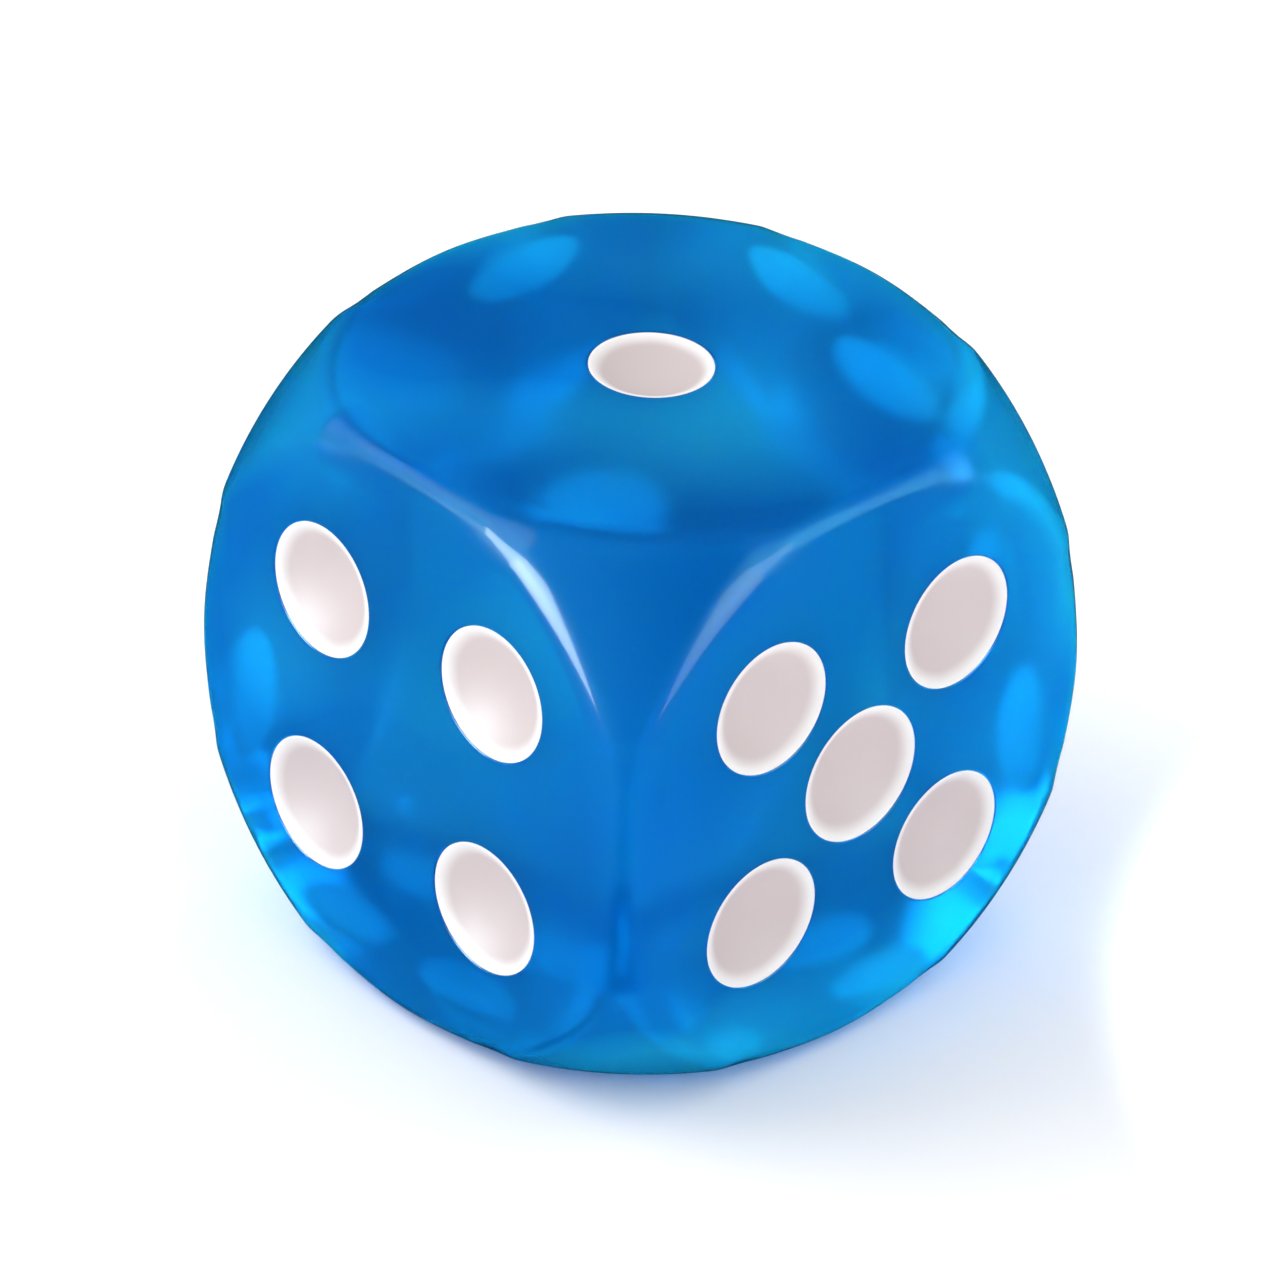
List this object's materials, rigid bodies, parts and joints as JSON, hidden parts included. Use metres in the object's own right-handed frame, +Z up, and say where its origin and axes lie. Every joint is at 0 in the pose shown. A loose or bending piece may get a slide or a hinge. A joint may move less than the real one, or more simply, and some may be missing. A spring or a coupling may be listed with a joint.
{
  "type": "casino die",
  "caption": "Six-sided gaming die of clear azure acrylic, with round-cut corners, slightly crowned faces and dished pips painted white",
  "frame": {"origin": "the middle of the six face, which the die rests on", "axes": "+Z up through the one face, +X out of the five face, +Y out of the three face, so that the four face looks along -Y and the two face along -X"},
  "size_m": [0.016, 0.016, 0.016],
  "materials": {
    "acrylic": "polished, see-through azure acrylic",
    "pip_paint": "white enamel paint, satin"
  },
  "bodies": {
    "root": {"body": "acrylic", "pip_one_centre": "pip_paint", "pip_two_upper_left": "pip_paint", "pip_two_lower_right": "pip_paint", "pip_three_lower_left": "pip_paint", "pip_three_centre": "pip_paint", "pip_three_upper_right": "pip_paint", "pip_four_upper_left": "pip_paint", "pip_four_upper_right": "pip_paint", "pip_four_lower_left": "pip_paint", "pip_four_lower_right": "pip_paint", "pip_five_upper_left": "pip_paint", "pip_five_upper_right": "pip_paint", "pip_five_centre": "pip_paint", "pip_five_lower_left": "pip_paint", "pip_five_lower_right": "pip_paint", "pip_six_upper_left": "pip_paint", "pip_six_upper_middle": "pip_paint", "pip_six_upper_right": "pip_paint", "pip_six_lower_left": "pip_paint", "pip_six_lower_middle": "pip_paint", "pip_six_lower_right": "pip_paint"}
  },
  "joints": []
}
